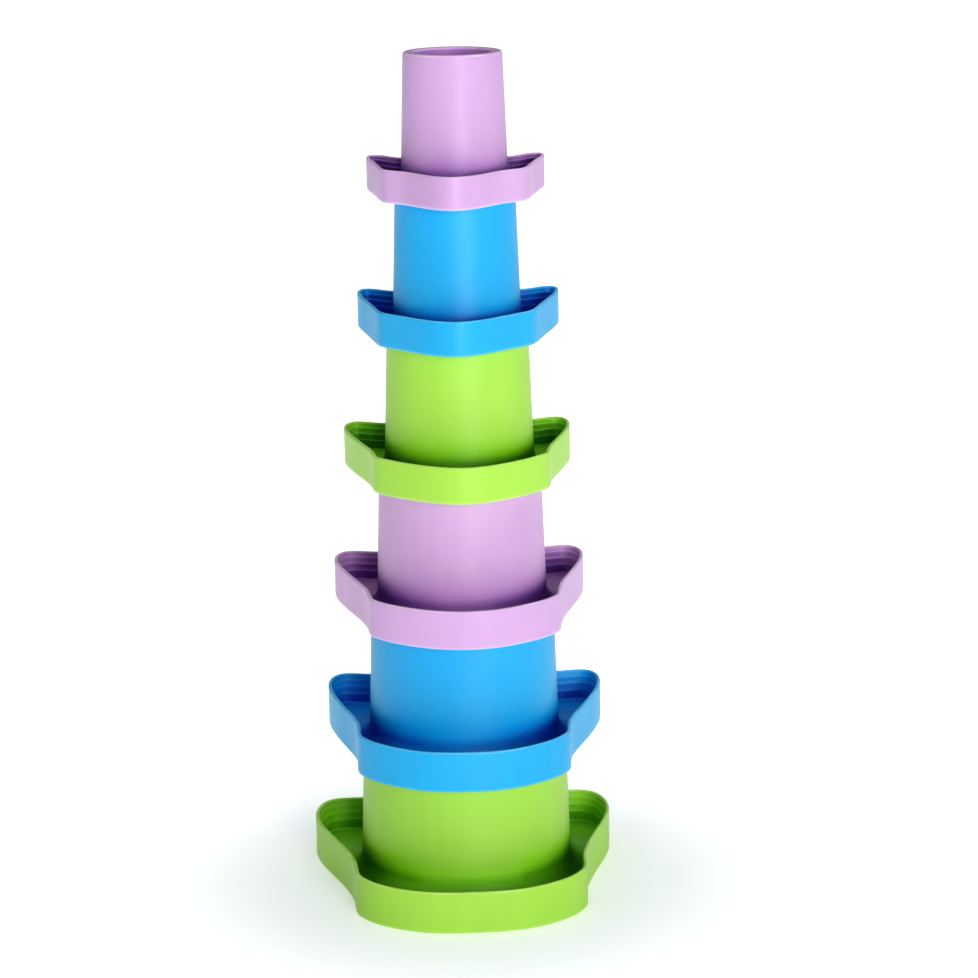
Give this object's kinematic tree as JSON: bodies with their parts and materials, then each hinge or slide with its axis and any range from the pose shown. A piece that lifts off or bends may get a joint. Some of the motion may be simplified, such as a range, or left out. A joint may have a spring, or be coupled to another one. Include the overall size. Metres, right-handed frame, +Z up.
{
  "type": "stacking cup tower",
  "caption": "Tower of nesting toy cups stacked closed end up, each a tapered round cup with a lobed tray-like skirt; every cup lifts off the one below.",
  "frame": {"origin": "middle of the footprint of the bottom cup's skirt, at the level the tower stands on", "axes": "+Z up along the tower axis, -Y towards the bottom cup's front lobe, X across its two ears"},
  "size_m": [0.1198, 0.1132, 0.3271],
  "materials": {
    "lilac": "satin moulded polypropylene, lilac",
    "blue": "satin moulded polypropylene, sky blue",
    "green": "satin moulded polypropylene, lime green"
  },
  "bodies": {
    "base": {"cup_6_base": "green"},
    "level_5": {"cup_5": "blue"},
    "level_4": {"cup_4": "lilac"},
    "level_3": {"cup_3": "green"},
    "level_2": {"cup_2": "blue"},
    "level_1": {"cup_1_top": "lilac"}
  },
  "joints": [
    {"name": "lift_cup_5", "type": "slide", "parent": "base", "child": "level_5", "axis": [0, 0, 1], "range_m": [0, 0.08]},
    {"name": "lift_cup_4", "type": "slide", "parent": "level_5", "child": "level_4", "axis": [0, 0, 1], "range_m": [0, 0.08]},
    {"name": "lift_cup_3", "type": "slide", "parent": "level_4", "child": "level_3", "axis": [0, 0, 1], "range_m": [0, 0.08]},
    {"name": "lift_cup_2", "type": "slide", "parent": "level_3", "child": "level_2", "axis": [0, 0, 1], "range_m": [0, 0.08]},
    {"name": "lift_cup_1_top", "type": "slide", "parent": "level_2", "child": "level_1", "axis": [0, 0, 1], "range_m": [0, 0.08]}
  ]
}
